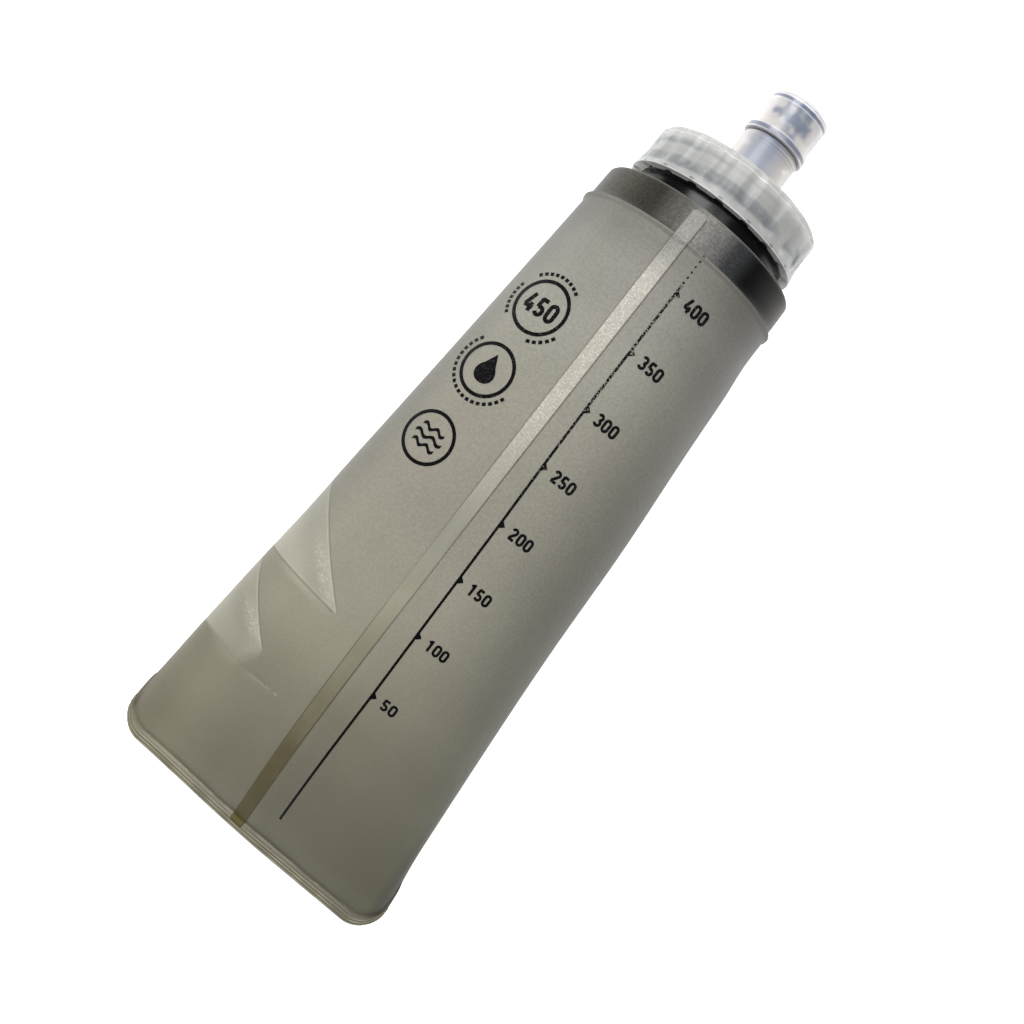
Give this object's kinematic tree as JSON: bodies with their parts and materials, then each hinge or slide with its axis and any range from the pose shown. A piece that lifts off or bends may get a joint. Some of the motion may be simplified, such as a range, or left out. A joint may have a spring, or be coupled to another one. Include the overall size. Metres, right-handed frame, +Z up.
{
  "type": "folding water bottle",
  "caption": "Soft folding flask with a film bag, a threaded collar, a fluted screw cap and a push-pull drinking mouthpiece.",
  "frame": {"origin": "bottom centre of the whole object's box, with the flask lying on its back", "axes": "+Y along the bottle's axis towards the mouthpiece, +Z up through the seam tape and the printed scale, +X to the right seen from above with the mouthpiece away from the viewer"},
  "size_m": [0.0944, 0.253, 0.0619],
  "materials": {
    "film": "frosted smoke-grey film",
    "seam_tape": "grainy heat-sealed tape",
    "collar": "glossy black soft plastic",
    "cap": "milky translucent",
    "gasket": "white silicone",
    "clear_spout": "clear",
    "o_ring": "dark rubber",
    "plug": "blue-grey",
    "clear_mouthpiece": "clear soft silicone"
  },
  "bodies": {
    "flask": {"film_upper": "film", "seam_tape_upper": "seam_tape", "collar": "collar"},
    "lower_bag": {"film_lower": "film", "seam_tape_lower": "seam_tape"},
    "gasket_carrier": {"cap_gasket": "gasket"},
    "screw_cap": {"cap": "cap", "stem": "clear_spout", "stem_o_ring": "o_ring", "valve_plug": "plug"},
    "push_pull": {"mouthpiece": "clear_mouthpiece"}
  },
  "joints": [
    {"name": "bag_fold", "type": "hinge", "parent": "flask", "child": "lower_bag", "pos_m": [0, -0.05065, 0.03809], "axis": [-1, 0, 0], "range_deg": [0, 150]},
    {"name": "cap_lift", "type": "slide", "parent": "flask", "child": "gasket_carrier", "axis": [0, 1, 0], "range_m": [0, 0.012]},
    {"name": "cap_turn", "type": "hinge", "parent": "gasket_carrier", "child": "screw_cap", "pos_m": [0, 0.0815, 0.0308], "axis": [0, 1, 0], "range_deg": [0, 720]},
    {"name": "mouthpiece_pull", "type": "slide", "parent": "screw_cap", "child": "push_pull", "axis": [0, 1, 0], "range_m": [0, 0.005]}
  ],
  "couplings": [
    {"joint": "cap_lift", "follows": "cap_turn", "m_per_rad": 0.00095493}
  ]
}
